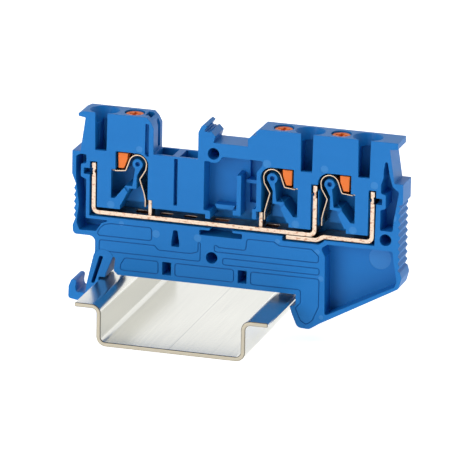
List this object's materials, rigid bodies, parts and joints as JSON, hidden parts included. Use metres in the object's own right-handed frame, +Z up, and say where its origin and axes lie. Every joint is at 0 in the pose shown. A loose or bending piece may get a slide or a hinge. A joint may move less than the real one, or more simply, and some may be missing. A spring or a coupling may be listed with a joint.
{
  "type": "din rail terminal block",
  "caption": "Blue push-in feed-through terminal block, one wire on the left and two on the right, open side showing springs and current bar, clipped on a short top-hat rail.",
  "frame": {"origin": "on the underside of the rail's web, on the rail's centreline, level with the middle of the block's thickness", "axes": "+X along the block's length, towards the end with two wire entries; +Y along the rail, towards the block's closed back wall; +Z up, away from the mounting surface"},
  "size_m": [0.0606, 0.045, 0.0377],
  "materials": {
    "din_rail": "bright zinc-plated and passivated sheet steel",
    "housing": "moulded blue polyamide, satin",
    "rail_latch": "moulded blue polyamide, satin",
    "busbar_main": "tin-plated copper strip with bare punched edges",
    "busbar_link": "tin-plated copper strip with bare punched edges",
    "spring_anchor_left": "thin spring steel strip, smooth",
    "spring_anchor_middle": "thin spring steel strip, smooth",
    "spring_anchor_right": "thin spring steel strip, smooth",
    "spring_tongue_left": "thin spring steel strip, smooth",
    "spring_tongue_middle": "thin spring steel strip, smooth",
    "spring_tongue_right": "thin spring steel strip, smooth",
    "push_button_left": "moulded orange polyamide, satin",
    "push_button_middle": "moulded orange polyamide, satin",
    "push_button_right": "moulded orange polyamide, satin"
  },
  "bodies": {
    "rail": {"din_rail": "din_rail"},
    "block": {"housing": "housing", "busbar_main": "busbar_main", "busbar_link": "busbar_link", "spring_anchor_left": "spring_anchor_left", "spring_anchor_middle": "spring_anchor_middle", "spring_anchor_right": "spring_anchor_right"},
    "latch": {"rail_latch": "rail_latch"},
    "tongue_left": {"spring_tongue_left": "spring_tongue_left"},
    "tongue_middle": {"spring_tongue_middle": "spring_tongue_middle"},
    "tongue_right": {"spring_tongue_right": "spring_tongue_right"},
    "button_left": {"push_button_left": "push_button_left"},
    "button_middle": {"push_button_middle": "push_button_middle"},
    "button_right": {"push_button_right": "push_button_right"}
  },
  "joints": [
    {"name": "block_slide", "type": "slide", "parent": "rail", "child": "block", "axis": [0, 1, 0], "range_m": [-0.0144, 0.025]},
    {"name": "latch_flex", "type": "hinge", "parent": "block", "child": "latch", "pos_m": [-0.017, 0, 0.0109], "axis": [0, 1, 0], "range_deg": [0, 16], "stiffness_Nm_per_rad": 0.05},
    {"name": "button_left_press", "type": "slide", "parent": "block", "child": "button_left", "axis": [0, 0, -1], "range_m": [0, 0.0013], "stiffness_N_per_m": 300},
    {"name": "tongue_left_turn", "type": "hinge", "parent": "block", "child": "tongue_left", "pos_m": [-0.01105, 0, 0.02897], "axis": [0, -1, 0], "range_deg": [0, 24.5]},
    {"name": "button_middle_press", "type": "slide", "parent": "block", "child": "button_middle", "axis": [0, 0, -1], "range_m": [0, 0.0013], "stiffness_N_per_m": 300},
    {"name": "tongue_middle_turn", "type": "hinge", "parent": "block", "child": "tongue_middle", "pos_m": [0.01345, 0, 0.02897], "axis": [0, 1, 0], "range_deg": [0, 24.5]},
    {"name": "button_right_press", "type": "slide", "parent": "block", "child": "button_right", "axis": [0, 0, -1], "range_m": [0, 0.0013], "stiffness_N_per_m": 300},
    {"name": "tongue_right_turn", "type": "hinge", "parent": "block", "child": "tongue_right", "pos_m": [0.0238, 0, 0.02897], "axis": [0, 1, 0], "range_deg": [0, 24.5]}
  ],
  "couplings": [
    {"joint": "tongue_left_turn", "follows": "button_left_press", "rad_per_m": 322},
    {"joint": "tongue_middle_turn", "follows": "button_middle_press", "rad_per_m": 322},
    {"joint": "tongue_right_turn", "follows": "button_right_press", "rad_per_m": 322}
  ]
}
